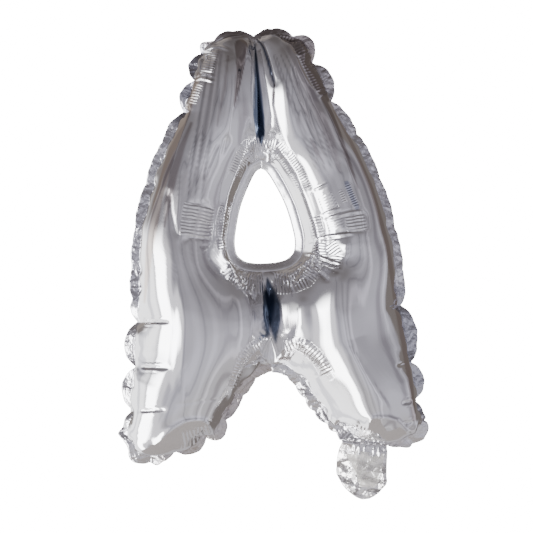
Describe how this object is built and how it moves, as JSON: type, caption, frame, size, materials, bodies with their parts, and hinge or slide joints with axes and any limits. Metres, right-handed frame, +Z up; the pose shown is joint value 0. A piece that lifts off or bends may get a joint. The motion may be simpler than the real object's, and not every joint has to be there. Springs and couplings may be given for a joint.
{
  "type": "letter foil balloon",
  "caption": "Blown-up silver foil balloon in the shape of a capital A, hung by the notch at its top, with a folding filler tail under one foot.",
  "frame": {"origin": "middle of the margin's edge at the apex notch, the point that the letter hangs by", "axes": "+X to the letter's right as it is read, +Y to its back, +Z up along the letter"},
  "size_m": [0.2516, 0.0804, 0.3984],
  "materials": {
    "silver_foil": "bright mirror-like metallised film, stretched tight, with soft folds",
    "margin_foil": "crinkled metallised film, heat sealed flat",
    "valve_film": "clear crinkled film"
  },
  "bodies": {
    "envelope": {"front_panel": "silver_foil", "back_panel": "silver_foil", "outer_margin": "margin_foil", "counter_margin": "margin_foil"},
    "tail": {"filler_neck": "margin_foil", "tail_leaf": "margin_foil", "valve_film": "valve_film"}
  },
  "joints": [
    {"name": "tail_fold", "type": "hinge", "parent": "envelope", "child": "tail", "pos_m": [0.072, 0, -0.349], "axis": [0.9877, 0, -0.1564], "range_deg": [-100, 100]}
  ]
}
